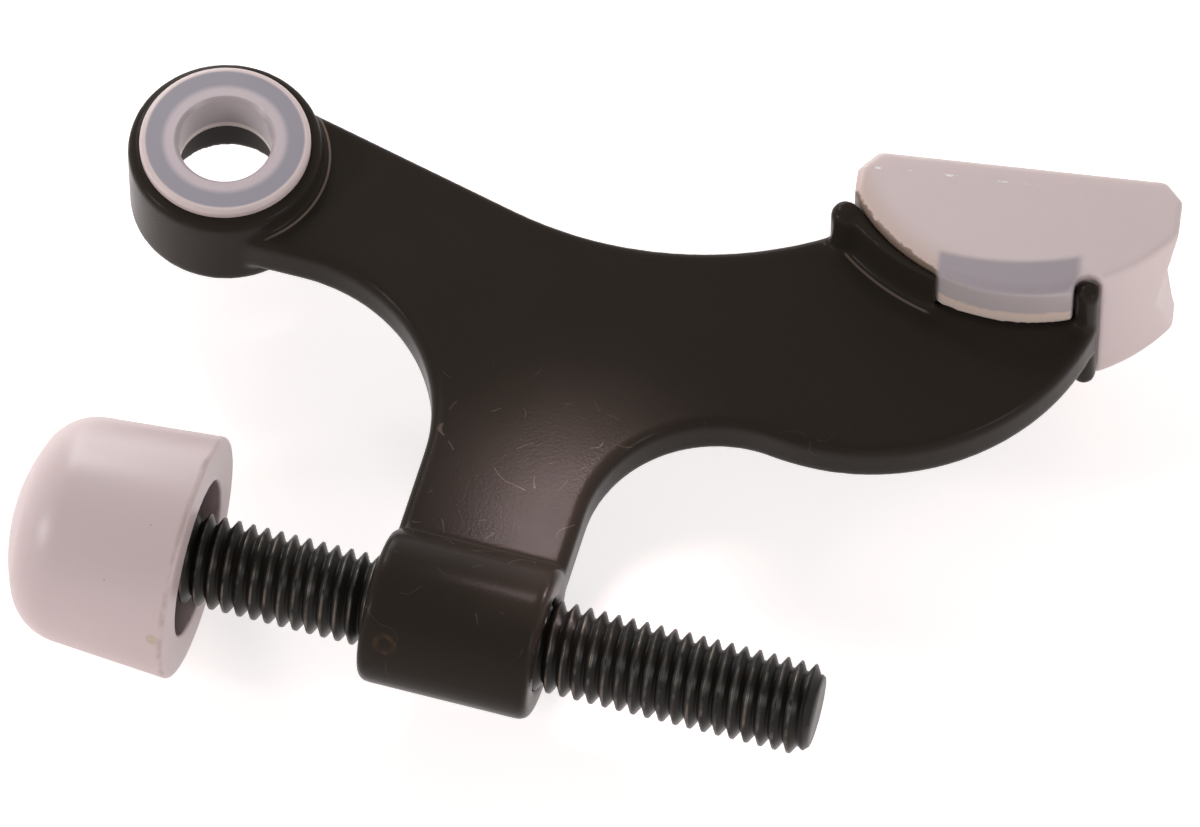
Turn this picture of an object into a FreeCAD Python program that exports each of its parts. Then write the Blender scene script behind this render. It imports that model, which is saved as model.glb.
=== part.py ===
import FreeCAD, Part
import os
from math import asin, atan2, cos, hypot, pi, radians, sin, sqrt
from types import SimpleNamespace

import Sketcher

# Hinge pin door stop, in millimetres.
# A die cast arm hangs on a door's hinge pin by its eye. A screw with a soft cap meets the door,
# and a soft pad, clipped into a saddle at the arm's end, meets the door casing.
# The origin is on the hinge pin's axis, on the eye's top face. +Z is up along the pin, and +X runs
# along the screw, from its cap to its free end. The casting is alike above and below its middle plane.

SIZES = {
    # eye of the casting
    "eye_outer_dia": 17.0,
    "eye_height": 9.1,
    "eye_bore_dia": 10.6,
    "eye_edge_round": 0.7,
    "eye_foot_round": 0.6,
    "eye_foot_start": -50.0,
    "eye_foot_sweep": 90.0,
    # bushing in the eye
    "pin_hole_dia": 8.2,
    "bushing_fit": 0.05,
    "flange_dia": 14.9,
    "flange_thick": 0.85,
    "flange_edge_round": 0.4,
    "bushing_depth": 3.6,
    "pin_lead_in": 0.35,
    # arm and leg of the casting
    "plate_thick": 4.8,
    "plate_edge_round": 0.9,
    "neck_above": 8.2,
    "neck_below": 7.6,
    "hollow_radius": 33.4,
    "hollow_low_y": 1.05,
    "hollow_meet_angle": 97.386,
    "left_throat_radius": 15.65,
    "right_throat_radius": 11.7,
    "lobe_center_x": 56.0,
    "lobe_center_y": 7.45,
    # sleeve for the screw
    "rod_offset": 37.8,
    "sleeve_center_x": 32.2,
    "sleeve_length": 15.2,
    "sleeve_outer_dia": 13.5,
    "sleeve_edge_round": 0.9,
    "leg_inset": 0.1,
    # saddle, in its own axes about the seat's centre: x along the pad's face, y out of that face
    "seat_center_x": 67.2,
    "seat_center_y": 18.9,
    "saddle_turn": 8.72,
    "seat_radius": 16.75,
    "left_post_radius": 1.3,
    "left_post_angle": 214.0,
    "right_post_radius": 1.1,
    "right_post_angle": 293.4,
    "post_rise": 7.5,
    "post_top_round": 0.9,
    "wall_extra_radius": 3.35,
    "wall_center_shift": 3.0,
    "wall_rise": 7.3,
    "wall_foot_round": 0.8,
    "foot_root": 0.15,
    "lug_setback": 0.9,
    "lug_thick": 2.55,
    "lug_left": 6.2,
    "lug_right": 5.2,
    "lug_rise": 6.9,
    # pad in the saddle
    "pad_fit": 0.1,
    "post_room": 0.15,
    "pad_left_inset": 2.35,
    "pad_right_inset": 2.85,
    "pad_height": 16.0,
    "pad_face_depth": 4.05,
    "pad_corner_back": 1.8,
    "pad_corner_across": 1.6,
    "pad_corner_lean": 4.0,
    "pad_notch_depth": 1.5,
    "pad_notch_drop": 1.0,
    "pad_edge_round": 0.6,
    "tab_cover": 0.2,
    "tab_proud": 0.1,
    "tab_clear": 0.35,
    "tab_rise": 7.6,
    # screw
    "rod_dia": 8.0,
    "rod_fit": 0.05,
    "rod_reach": 23.9,
    "rod_chamfer": 0.9,
    "head_dia": 16.0,
    "head_thick": 3.6,
    "head_edge_round": 0.8,
    # cap on the screw's head
    "cap_gap": 15.8,
    "cap_rim_dia": 21.5,
    "cap_rim_round": 0.6,
    "cap_shoulder_dia": 19.76,
    "cap_side_length": 10.6,
    "cap_nose": 5.7,
    "cap_corner_radius": 5.0,
    "cap_mouth_dia": 13.7,
    "cap_lip": 4.2,
    "head_fit": 0.1,
    "head_end_play": 0.15,
}

size = SimpleNamespace(**SIZES)
doc = FreeCAD.newDocument("door_stop")

START, END, CENTRE = range(1, 4)
UP_AXIS, SIDE_AXIS = range(-2, 0)
ROOT = SIDE_AXIS


def make_sheet():
    """Writes the driving dimensions to the sheet, one aliased cell each."""
    sheet = doc.addObject("Spreadsheet::Sheet", "Sizes")
    for row, (alias, value) in enumerate(SIZES.items(), start=1):
        sheet.set(f"A{row}", alias)
        sheet.set(f"B{row}", str(value))
        sheet.setAlias(f"B{row}", alias)
    doc.recompute()


def make_body(name, **placed):
    """A body for one piece. Each keyword ties a part of its placement to the sheet."""
    body = doc.addObject("PartDesign::Body", name)
    body.Label = name
    for axis, expression in placed.items():
        body.setExpression("Placement." + axis.replace("_", "."), expression)
    return body


def make_sketch(body, name, plane, **shifted):
    """A sketch on one of the body's own planes. Each keyword ties a part of its offset to the sheet."""
    sketch = body.newObject("Sketcher::SketchObject", name)
    support = next(item for item in body.Origin.OriginFeatures if item.Role == plane)
    sketch.AttachmentSupport = [(support, "")]
    sketch.MapMode = "FlatFace"
    for axis, expression in shifted.items():
        sketch.setExpression("AttachmentOffset." + axis.replace("_", "."), expression)
    return sketch


def join(sketch, kind, *places):
    """A relation between parts of a sketch that has no size."""
    sketch.addConstraint(Sketcher.Constraint(kind, *places))


def drive(sketch, kind, *places_and_expression):
    """A sized relation, tied to the sheet."""
    *places, expression = places_and_expression
    value = sketch.evalExpression(expression)
    index = sketch.addConstraint(Sketcher.Constraint(kind, *places, value))
    sketch.setExpression(f"Constraints[{index}]", expression)


def locate(sketch, item, end, x, y):
    """Holds a point of a sketch at two expressions. None leaves that way free, and 0 is on the axis."""
    if x == "0":
        join(sketch, "PointOnObject", item, end, UP_AXIS)
    elif x is not None:
        drive(sketch, "DistanceX", ROOT, START, item, end, x)
    if y == "0":
        join(sketch, "PointOnObject", item, end, SIDE_AXIS)
    elif y is not None:
        drive(sketch, "DistanceY", ROOT, START, item, end, y)


def add_line(sketch, first, second):
    return sketch.addGeometry(Part.LineSegment(FreeCAD.Vector(*first), FreeCAD.Vector(*second)), False)


def add_arc(sketch, centre, radius, begin, finish):
    """An arc that runs anticlockwise between two angles in radians."""
    circle = Part.Circle(FreeCAD.Vector(*centre), FreeCAD.Vector(0, 0, 1), radius)
    return sketch.addGeometry(Part.ArcOfCircle(circle, begin, finish), False)


def add_circle(sketch, x, y, radius):
    """A whole circle held at two expressions, with its radius tied to the sheet."""
    centre = FreeCAD.Vector(sketch.evalExpression(x), sketch.evalExpression(y), 0)
    circle = Part.Circle(centre, FreeCAD.Vector(0, 0, 1), sketch.evalExpression(radius))
    item = sketch.addGeometry(circle, False)
    locate(sketch, item, CENTRE, x, y)
    drive(sketch, "Radius", item, radius)


def add_polygon(sketch, corners):
    """A closed outline of straight sides through corners given as pairs of expressions."""
    points = [(sketch.evalExpression(x), sketch.evalExpression(y), 0) for x, y in corners]
    items = [add_line(sketch, point, after) for point, after in zip(points, points[1:] + points[:1])]
    for item, after in zip(items, items[1:] + items[:1]):
        join(sketch, "Coincident", item, END, after, START)
    for item, (x, y) in zip(items, corners):
        locate(sketch, item, START, x, y)


def at(centre, radius, angle):
    """The point at an angle in radians on a circle."""
    return (centre[0] + radius * cos(angle), centre[1] + radius * sin(angle), 0)


def make_pad(body, name, sketch, length):
    """A pad to both sides of its sketch."""
    pad = body.newObject("PartDesign::Pad", name)
    pad.Profile = sketch
    pad.SideType = "Symmetric"
    pad.setExpression("Length", length)
    doc.recompute()
    return pad


def make_cut(body, name, sketch, length, lean=None):
    """A pocket to both sides of its sketch or, with a lean, below it and widening. It must cut."""
    before = body.Shape.Volume
    cut = body.newObject("PartDesign::Pocket", name)
    cut.Profile = sketch
    cut.SideType = "One side" if lean else "Symmetric"
    cut.setExpression("Length", length)
    if lean:
        cut.setExpression("TaperAngle", lean)
    doc.recompute()
    if body.Shape.Volume >= before:
        raise RuntimeError(name + " removed nothing")
    return cut


def make_turned(body, name, sketch, axis):
    """A full turn of a sketch about one of its own axes."""
    turned = body.newObject("PartDesign::Revolution", name)
    turned.Profile = sketch
    turned.ReferenceAxis = (sketch, [axis])
    turned.Angle = 360
    doc.recompute()
    return turned


def make_round(body, name, chosen, radius):
    """Rounds the edges of the body for which the test holds."""
    base = body.Tip
    names = [f"Edge{n}" for n, edge in enumerate(base.Shape.Edges, start=1) if chosen(edge)]
    rounding = body.newObject("PartDesign::Fillet", name)
    rounding.Base = (base, names)
    rounding.setExpression("Radius", radius)
    doc.recompute()
    return rounding


def make_foot(body, name, x, y, radius, bend, start, sweep):
    """A hollow round, above and below, where an upright round wall stands on the arm, for part of a turn."""
    sketch = make_sketch(body, name + "Outline", "XZ_Plane")
    upright = FreeCAD.Rotation(FreeCAD.Vector(0, 1, 0), 0)
    sketch.AttachmentOffset = FreeCAD.Placement(FreeCAD.Vector(), upright)
    sketch.setExpression("AttachmentOffset.Base.x", x)
    sketch.setExpression("AttachmentOffset.Base.z", f"-({y})")
    sketch.setExpression("AttachmentOffset.Rotation.Angle", start)
    for side, way in (("", 1), ("-", -1)):
        inside = f"{radius} - Sizes.foot_root"
        outside = f"{radius} + {bend}"
        deep = f"{side}(Sizes.plate_thick / 2 - Sizes.foot_root)"
        flat = f"{side}Sizes.plate_thick / 2"
        tall = f"{side}(Sizes.plate_thick / 2 + {bend})"
        places = [(inside, deep), (outside, deep), (outside, flat), (radius, tall), (inside, tall)]
        points = [(sketch.evalExpression(across), sketch.evalExpression(up), 0) for across, up in places]
        floor = add_line(sketch, points[0], points[1])
        outer = add_line(sketch, points[1], points[2])
        bend_radius = sketch.evalExpression(bend)
        centre = (points[2][0], points[3][1])
        begin, finish = (pi, 3 * pi / 2) if way > 0 else (pi / 2, pi)
        hollow = add_arc(sketch, centre, bend_radius, begin, finish)
        top = add_line(sketch, points[3], points[4])
        inner = add_line(sketch, points[4], points[0])
        low_end, high_end = (END, START) if way > 0 else (START, END)
        join(sketch, "Coincident", floor, END, outer, START)
        join(sketch, "Coincident", outer, END, hollow, low_end)
        join(sketch, "Coincident", hollow, high_end, top, START)
        join(sketch, "Coincident", top, END, inner, START)
        join(sketch, "Coincident", inner, END, floor, START)
        locate(sketch, floor, START, inside, deep)
        locate(sketch, floor, END, outside, deep)
        locate(sketch, outer, END, outside, flat)
        locate(sketch, top, START, radius, tall)
        locate(sketch, top, END, inside, tall)
        drive(sketch, "Radius", hollow, bend)
    turned = body.newObject("PartDesign::Revolution", name)
    turned.Profile = sketch
    turned.ReferenceAxis = (sketch, ["V_Axis"])
    turned.setExpression("Angle", sweep)
    doc.recompute()
    return turned


NEAR = 1e-4


def lies_flat(edge, height):
    """Whether an edge lies in the plane at this height above or below the body's own XY plane."""
    box = edge.BoundBox
    return box.ZLength < NEAR and abs(abs(box.ZMin) - height) < NEAR


def is_curved(edge, radius):
    """Whether an edge is a circle, or part of one, of this radius."""
    return isinstance(edge.Curve, Part.Circle) and abs(edge.Curve.Radius - radius) < NEAR


def is_ring(edge, radius):
    """Whether an edge is a whole circle of this radius."""
    return edge.isClosed() and is_curved(edge, radius)


LEG_LEFT = "Sizes.sleeve_center_x - Sizes.sleeve_length / 2 + Sizes.leg_inset"
LEG_RIGHT = "Sizes.sleeve_center_x + Sizes.sleeve_length / 2 - Sizes.leg_inset"
TURN = "Sizes.saddle_turn * 1 deg"
LEFT_POST_REACH = "(Sizes.seat_radius + Sizes.left_post_radius)"
LEFT_POST_X = f"Sizes.seat_center_x + {LEFT_POST_REACH} * cos(Sizes.left_post_angle * 1 deg + {TURN})"
RIGHT_POST_X = "Sizes.seat_radius * cos(Sizes.right_post_angle * 1 deg)"
RIGHT_POST_Y = "Sizes.seat_radius * sin(Sizes.right_post_angle * 1 deg)"
WALL_RADIUS = "(Sizes.seat_radius + Sizes.wall_extra_radius)"
LUG_OUTER = "(Sizes.seat_radius - Sizes.lug_setback)"
LUG_INNER = "(Sizes.seat_radius - Sizes.lug_setback - Sizes.lug_thick)"
PAD_LEFT = "(Sizes.seat_radius - Sizes.pad_left_inset)"
PAD_RIGHT = "(Sizes.seat_radius - Sizes.pad_right_inset)"
SADDLE = {
    "Base_x": "Sizes.seat_center_x",
    "Base_y": "Sizes.seat_center_y",
    "Rotation_Angle": TURN,
}


def draw_arm(sketch):
    """Outline of the flat arm: neck, hollow, left post, seat, right post, lobe, throats and leg."""
    leg_left = sketch.evalExpression(LEG_LEFT)
    leg_right = sketch.evalExpression(LEG_RIGHT)
    seat = (size.seat_center_x, size.seat_center_y)
    left_way = radians(size.left_post_angle + size.saddle_turn)
    right_way = radians(size.right_post_angle + size.saddle_turn)
    left_post = at(seat, size.seat_radius + size.left_post_radius, left_way)
    right_post = at(seat, size.seat_radius, right_way)
    right_cut = right_way - 2 * asin(size.right_post_radius / (2 * size.seat_radius))
    seat_end = at(seat, size.seat_radius, right_cut)
    right_cut_way = atan2(seat_end[1] - right_post[1], seat_end[0] - right_post[0]) + 2 * pi

    meet_way = radians(size.hollow_meet_angle)
    meet = at(left_post, size.left_post_radius, meet_way)
    hollow_y = size.hollow_low_y + size.hollow_radius
    hollow = (meet[0] - sqrt(size.hollow_radius ** 2 - (meet[1] - hollow_y) ** 2), hollow_y)
    hollow_end = atan2(meet[1] - hollow[1], meet[0] - hollow[0]) + 2 * pi
    neck_top = (0, size.neck_above, 0)
    away = atan2(neck_top[1] - hollow[1], neck_top[0] - hollow[0]) + 2 * pi
    neck_way = away + atan2(sqrt(hypot(hollow[0], hollow[1] - neck_top[1]) ** 2 - size.hollow_radius ** 2),
                            size.hollow_radius)

    lobe = (size.lobe_center_x, size.lobe_center_y)
    lobe_end = atan2(right_post[1] - lobe[1], right_post[0] - lobe[0])
    lobe_radius = hypot(right_post[0] - lobe[0], right_post[1] - lobe[1]) + size.right_post_radius
    right_x = leg_right + size.right_throat_radius
    drop = sqrt((lobe_radius + size.right_throat_radius) ** 2 - (lobe[0] - right_x) ** 2)
    right_throat = (right_x, lobe[1] - drop)
    lobe_way = atan2(drop, lobe[0] - right_x)
    left_throat = (leg_left - size.left_throat_radius, -size.neck_below - size.left_throat_radius)

    neck = add_line(sketch, neck_top, at(hollow, size.hollow_radius, neck_way))
    hollow_arc = add_arc(sketch, hollow, size.hollow_radius, neck_way, hollow_end)
    left_arc = add_arc(sketch, left_post, size.left_post_radius, left_way - pi, meet_way)
    seat_arc = add_arc(sketch, seat, size.seat_radius, left_way, right_cut)
    right_arc = add_arc(sketch, right_post, size.right_post_radius, lobe_end, right_cut_way)
    lobe_arc = add_arc(sketch, lobe, lobe_radius, lobe_way - pi, lobe_end)
    right_throat_arc = add_arc(sketch, right_throat, size.right_throat_radius, lobe_way, pi)
    right_edge = add_line(sketch, (leg_right, right_throat[1], 0), (leg_right, -size.rod_offset, 0))
    foot = add_line(sketch, (leg_right, -size.rod_offset, 0), (leg_left, -size.rod_offset, 0))
    left_edge = add_line(sketch, (leg_left, -size.rod_offset, 0), (leg_left, left_throat[1], 0))
    left_throat_arc = add_arc(sketch, left_throat, size.left_throat_radius, 0, pi / 2)
    underside = add_line(sketch, (left_throat[0], -size.neck_below, 0), (0, -size.neck_below, 0))
    root = add_line(sketch, (0, -size.neck_below, 0), neck_top)

    join(sketch, "Tangent", neck, END, hollow_arc, START)
    join(sketch, "Coincident", hollow_arc, END, left_arc, END)
    join(sketch, "Tangent", left_arc, START, seat_arc, START)
    join(sketch, "Coincident", seat_arc, END, right_arc, END)
    join(sketch, "Tangent", right_arc, START, lobe_arc, END)
    join(sketch, "Tangent", lobe_arc, START, right_throat_arc, START)
    join(sketch, "Tangent", right_throat_arc, END, right_edge, START)
    join(sketch, "Coincident", right_edge, END, foot, START)
    join(sketch, "Coincident", foot, END, left_edge, START)
    join(sketch, "Tangent", left_edge, END, left_throat_arc, START)
    join(sketch, "Tangent", left_throat_arc, END, underside, START)
    join(sketch, "Coincident", underside, END, root, START)
    join(sketch, "Coincident", root, END, neck, START)
    join(sketch, "Vertical", right_edge)
    join(sketch, "Vertical", left_edge)
    join(sketch, "Horizontal", underside)

    locate(sketch, neck, START, "0", "Sizes.neck_above")
    locate(sketch, hollow_arc, CENTRE, None, "Sizes.hollow_low_y + Sizes.hollow_radius")
    locate(sketch, hollow_arc, END,
           LEFT_POST_X + " + Sizes.left_post_radius * cos(Sizes.hollow_meet_angle * 1 deg)", None)
    drive(sketch, "Radius", hollow_arc, "Sizes.hollow_radius")
    locate(sketch, seat_arc, CENTRE, "Sizes.seat_center_x", "Sizes.seat_center_y")
    drive(sketch, "Radius", seat_arc, "Sizes.seat_radius")
    locate(sketch, left_arc, CENTRE, LEFT_POST_X, None)
    drive(sketch, "Radius", left_arc, "Sizes.left_post_radius")
    right_angle = "(Sizes.right_post_angle + Sizes.saddle_turn) * 1 deg"
    locate(sketch, right_arc, CENTRE, f"Sizes.seat_center_x + Sizes.seat_radius * cos({right_angle})",
           f"Sizes.seat_center_y + Sizes.seat_radius * sin({right_angle})")
    drive(sketch, "Radius", right_arc, "Sizes.right_post_radius")
    locate(sketch, lobe_arc, CENTRE, "Sizes.lobe_center_x", "Sizes.lobe_center_y")
    drive(sketch, "Radius", right_throat_arc, "Sizes.right_throat_radius")
    locate(sketch, foot, START, LEG_RIGHT, "-Sizes.rod_offset")
    locate(sketch, foot, END, LEG_LEFT, "-Sizes.rod_offset")
    drive(sketch, "Radius", left_throat_arc, "Sizes.left_throat_radius")
    locate(sketch, underside, END, "0", "-Sizes.neck_below")


def draw_sleeve(sketch):
    """Half of the sleeve's length section, above its axis, with rounded ends."""
    half = size.sleeve_length / 2
    radius = size.sleeve_outer_dia / 2
    bend = size.sleeve_edge_round
    base = add_line(sketch, (-half, 0, 0), (half, 0, 0))
    right = add_line(sketch, (half, 0, 0), (half, radius - bend, 0))
    right_bend = add_arc(sketch, (half - bend, radius - bend), bend, 0, pi / 2)
    top = add_line(sketch, (half - bend, radius, 0), (bend - half, radius, 0))
    left_bend = add_arc(sketch, (bend - half, radius - bend), bend, pi / 2, pi)
    left = add_line(sketch, (-half, radius - bend, 0), (-half, 0, 0))
    join(sketch, "Coincident", base, END, right, START)
    join(sketch, "Tangent", right, END, right_bend, START)
    join(sketch, "Tangent", right_bend, END, top, START)
    join(sketch, "Tangent", top, END, left_bend, START)
    join(sketch, "Tangent", left_bend, END, left, START)
    join(sketch, "Coincident", left, END, base, START)
    join(sketch, "Vertical", right)
    join(sketch, "Vertical", left)
    join(sketch, "Horizontal", top)
    locate(sketch, base, START, "-Sizes.sleeve_length / 2", "0")
    locate(sketch, base, END, "Sizes.sleeve_length / 2", "0")
    locate(sketch, top, START, None, "Sizes.sleeve_outer_dia / 2")
    drive(sketch, "Radius", right_bend, "Sizes.sleeve_edge_round")
    drive(sketch, "Radius", left_bend, "Sizes.sleeve_edge_round")


def draw_wall(sketch):
    """Outline of the curved wall behind the pad, from the left post to the notch for the pad's tab."""
    post_way = radians(size.left_post_angle)
    shift = (0, size.wall_center_shift)
    wall_radius = size.seat_radius + size.wall_extra_radius
    inner_left = at((0, 0), size.seat_radius, post_way)
    outer_left_x = (size.seat_radius + size.left_post_radius) * cos(post_way)
    end_x = -size.lug_left - size.tab_cover - size.pad_fit
    inner_way = pi + atan2(sqrt(size.seat_radius ** 2 - end_x ** 2), -end_x)
    outer_way = pi + atan2(sqrt(wall_radius ** 2 - end_x ** 2), -end_x)
    outer_post_way = pi + atan2(sqrt(wall_radius ** 2 - outer_left_x ** 2), -outer_left_x)

    inner = add_arc(sketch, (0, 0), size.seat_radius, post_way, inner_way)
    outer = add_arc(sketch, shift, wall_radius, outer_post_way, outer_way)
    left_end = add_line(sketch, inner_left, at(shift, wall_radius, outer_post_way))
    notch = add_line(sketch, at((0, 0), size.seat_radius, inner_way),
                     at(shift, wall_radius, outer_way))
    join(sketch, "Coincident", left_end, START, inner, START)
    join(sketch, "Coincident", left_end, END, outer, START)
    join(sketch, "Coincident", notch, START, inner, END)
    join(sketch, "Coincident", notch, END, outer, END)
    join(sketch, "Coincident", inner, CENTRE, ROOT, START)
    drive(sketch, "Radius", inner, "Sizes.seat_radius")
    locate(sketch, outer, CENTRE, "0", "Sizes.wall_center_shift")
    drive(sketch, "Radius", outer, WALL_RADIUS)
    join(sketch, "Vertical", notch)
    locate(sketch, notch, START, "-Sizes.lug_left - Sizes.tab_cover - Sizes.pad_fit", None)
    locate(sketch, inner, START, "Sizes.seat_radius * cos(Sizes.left_post_angle * 1 deg)", None)
    locate(sketch, outer, START, LEFT_POST_REACH + " * cos(Sizes.left_post_angle * 1 deg)", None)


def draw_band(sketch, inner, outer, left, right):
    """Outline of a piece of a ring about the seat's centre, cut off by two upright sides."""
    inner_radius = sketch.evalExpression(inner)
    outer_radius = sketch.evalExpression(outer)
    left_x = sketch.evalExpression(left)
    right_x = sketch.evalExpression(right)

    def way(radius, x):
        return atan2(-sqrt(radius ** 2 - x ** 2), x)

    inner_arc = add_arc(sketch, (0, 0), inner_radius, way(inner_radius, left_x), way(inner_radius, right_x))
    outer_arc = add_arc(sketch, (0, 0), outer_radius, way(outer_radius, left_x), way(outer_radius, right_x))
    ends = []
    for x, end in ((left_x, START), (right_x, END)):
        side = add_line(sketch, at((0, 0), inner_radius, way(inner_radius, x)),
                        at((0, 0), outer_radius, way(outer_radius, x)))
        join(sketch, "Coincident", side, START, inner_arc, end)
        join(sketch, "Coincident", side, END, outer_arc, end)
        join(sketch, "Vertical", side)
        ends.append(side)
    join(sketch, "Coincident", inner_arc, CENTRE, ROOT, START)
    join(sketch, "Coincident", outer_arc, CENTRE, ROOT, START)
    drive(sketch, "Radius", inner_arc, inner)
    drive(sketch, "Radius", outer_arc, outer)
    locate(sketch, ends[0], START, left, None)
    locate(sketch, ends[1], START, right, None)


def make_cast_body():
    """The casting: flat arm and leg, eye, sleeve, and the saddle's wall, posts and lug."""
    body = make_body("cast_body", Base_z="-Sizes.eye_height / 2")

    arm = make_sketch(body, "ArmOutline", "XY_Plane")
    draw_arm(arm)
    make_pad(body, "Arm", arm, "Sizes.plate_thick")
    half = size.plate_thick / 2
    make_round(body, "ArmRound", lambda edge: lies_flat(edge, half) and not is_curved(edge, size.seat_radius)
               and not is_curved(edge, size.left_post_radius), "Sizes.plate_edge_round")

    eye = make_sketch(body, "EyeOutline", "XY_Plane")
    add_circle(eye, "0", "0", "Sizes.eye_outer_dia / 2")
    make_pad(body, "Eye", eye, "Sizes.eye_height")
    eye_top = size.eye_height / 2
    make_round(body, "EyeRound", lambda edge: lies_flat(edge, eye_top), "Sizes.eye_edge_round")
    make_foot(body, "EyeFoot", "0", "0", "Sizes.eye_outer_dia / 2", "Sizes.eye_foot_round",
              "Sizes.eye_foot_start * 1 deg", "Sizes.eye_foot_sweep * 1 deg")

    sleeve = make_sketch(body, "SleeveOutline", "XY_Plane", Base_x="Sizes.sleeve_center_x",
                         Base_y="-Sizes.rod_offset")
    draw_sleeve(sleeve)
    make_turned(body, "Sleeve", sleeve, "H_Axis")

    posts = make_sketch(body, "PostOutline", "XY_Plane", **SADDLE)
    add_circle(posts, LEFT_POST_REACH + " * cos(Sizes.left_post_angle * 1 deg)",
               LEFT_POST_REACH + " * sin(Sizes.left_post_angle * 1 deg)", "Sizes.left_post_radius")
    add_circle(posts, RIGHT_POST_X, RIGHT_POST_Y, "Sizes.right_post_radius")
    make_pad(body, "Posts", posts, "2 * Sizes.post_rise")
    make_round(body, "PostRound", lambda edge: lies_flat(edge, size.post_rise), "Sizes.post_top_round")

    wall = make_sketch(body, "WallOutline", "XY_Plane", **SADDLE)
    draw_wall(wall)
    make_pad(body, "Wall", wall, "2 * Sizes.wall_rise")
    wall_start = f"acos(-{LEFT_POST_REACH} * cos(Sizes.left_post_angle * 1 deg) / {WALL_RADIUS})"
    wall_end = f"acos((Sizes.lug_left + Sizes.tab_cover + Sizes.pad_fit) / {WALL_RADIUS})"
    make_foot(body, "WallFoot", f"Sizes.seat_center_x - Sizes.wall_center_shift * sin({TURN})",
              f"Sizes.seat_center_y + Sizes.wall_center_shift * cos({TURN})", WALL_RADIUS,
              "Sizes.wall_foot_round", f"180 deg + {wall_start} + {TURN}", f"{wall_end} - {wall_start}")

    tongue = make_sketch(body, "TongueOutline", "XY_Plane", **SADDLE)
    draw_band(tongue, LUG_INNER, "Sizes.seat_radius + Sizes.plate_edge_round",
              "-Sizes.lug_left", "Sizes.lug_right")
    make_pad(body, "Tongue", tongue, "Sizes.plate_thick - 2 * Sizes.pad_fit")

    lug = make_sketch(body, "LugOutline", "XY_Plane", **SADDLE)
    draw_band(lug, LUG_INNER, LUG_OUTER, "-Sizes.lug_left", "Sizes.lug_right")
    make_pad(body, "Lug", lug, "2 * Sizes.lug_rise")

    eye_bore = make_sketch(body, "EyeBoreOutline", "XY_Plane")
    add_circle(eye_bore, "0", "0", "Sizes.eye_bore_dia / 2")
    make_cut(body, "EyeBore", eye_bore, "Sizes.eye_height")

    rod_bore = make_sketch(body, "RodBoreOutline", "YZ_Plane", Base_z="Sizes.sleeve_center_x")
    add_circle(rod_bore, "-Sizes.rod_offset", "0", "Sizes.rod_dia / 2 + Sizes.rod_fit")
    make_cut(body, "RodBore", rod_bore, "Sizes.sleeve_length")
    return body


def make_eye_bushing():
    """Flanged bushing, pressed into the eye from above. The hinge pin runs through it."""
    body = make_body("eye_bushing")
    outline = make_sketch(body, "BushingOutline", "XZ_Plane")
    hole = "Sizes.pin_hole_dia / 2"
    stem = "Sizes.eye_bore_dia / 2 - Sizes.bushing_fit"
    add_polygon(outline, [
        (hole, "-Sizes.bushing_depth"),
        (stem, "-Sizes.bushing_depth"),
        (stem, "0"),
        ("Sizes.flange_dia / 2", "0"),
        ("Sizes.flange_dia / 2", "Sizes.flange_thick"),
        (hole + " + Sizes.pin_lead_in", "Sizes.flange_thick"),
        (hole, "Sizes.flange_thick - Sizes.pin_lead_in"),
    ])
    make_turned(body, "Bushing", outline, "V_Axis")
    rim = size.flange_dia / 2
    make_round(body, "FlangeRound", lambda edge: is_ring(edge, rim) and edge.BoundBox.ZMin > NEAR,
               "Sizes.flange_edge_round")
    return body


ROD_AXIS = {
    "Base_y": "-Sizes.rod_offset",
    "Base_z": "-Sizes.eye_height / 2",
}
CAP_MOUTH = "Sizes.sleeve_center_x - Sizes.sleeve_length / 2 - Sizes.cap_gap"


def make_threaded_rod():
    """Screw: plain shank at the thread's outer diameter, chamfered free end, round head inside the cap."""
    body = make_body("threaded_rod", Base_x=CAP_MOUTH, **ROD_AXIS)
    outline = make_sketch(body, "RodOutline", "XY_Plane")
    shank = "Sizes.rod_dia / 2"
    under_head = "-Sizes.cap_lip - Sizes.head_end_play"
    free_end = "Sizes.cap_gap + Sizes.sleeve_length + Sizes.rod_reach"
    add_polygon(outline, [
        (under_head + " - Sizes.head_thick", "0"),
        (free_end, "0"),
        (free_end, shank + " - Sizes.rod_chamfer"),
        (free_end + " - Sizes.rod_chamfer", shank),
        (under_head, shank),
        (under_head, "Sizes.head_dia / 2"),
        (under_head + " - Sizes.head_thick", "Sizes.head_dia / 2"),
    ])
    make_turned(body, "Rod", outline, "H_Axis")
    crown = outline.evalExpression(under_head + " - Sizes.head_thick")
    make_round(body, "HeadRound", lambda edge: is_ring(edge, size.head_dia / 2)
               and abs(edge.BoundBox.XMin - crown) < NEAR, "Sizes.head_edge_round")
    return body


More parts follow.
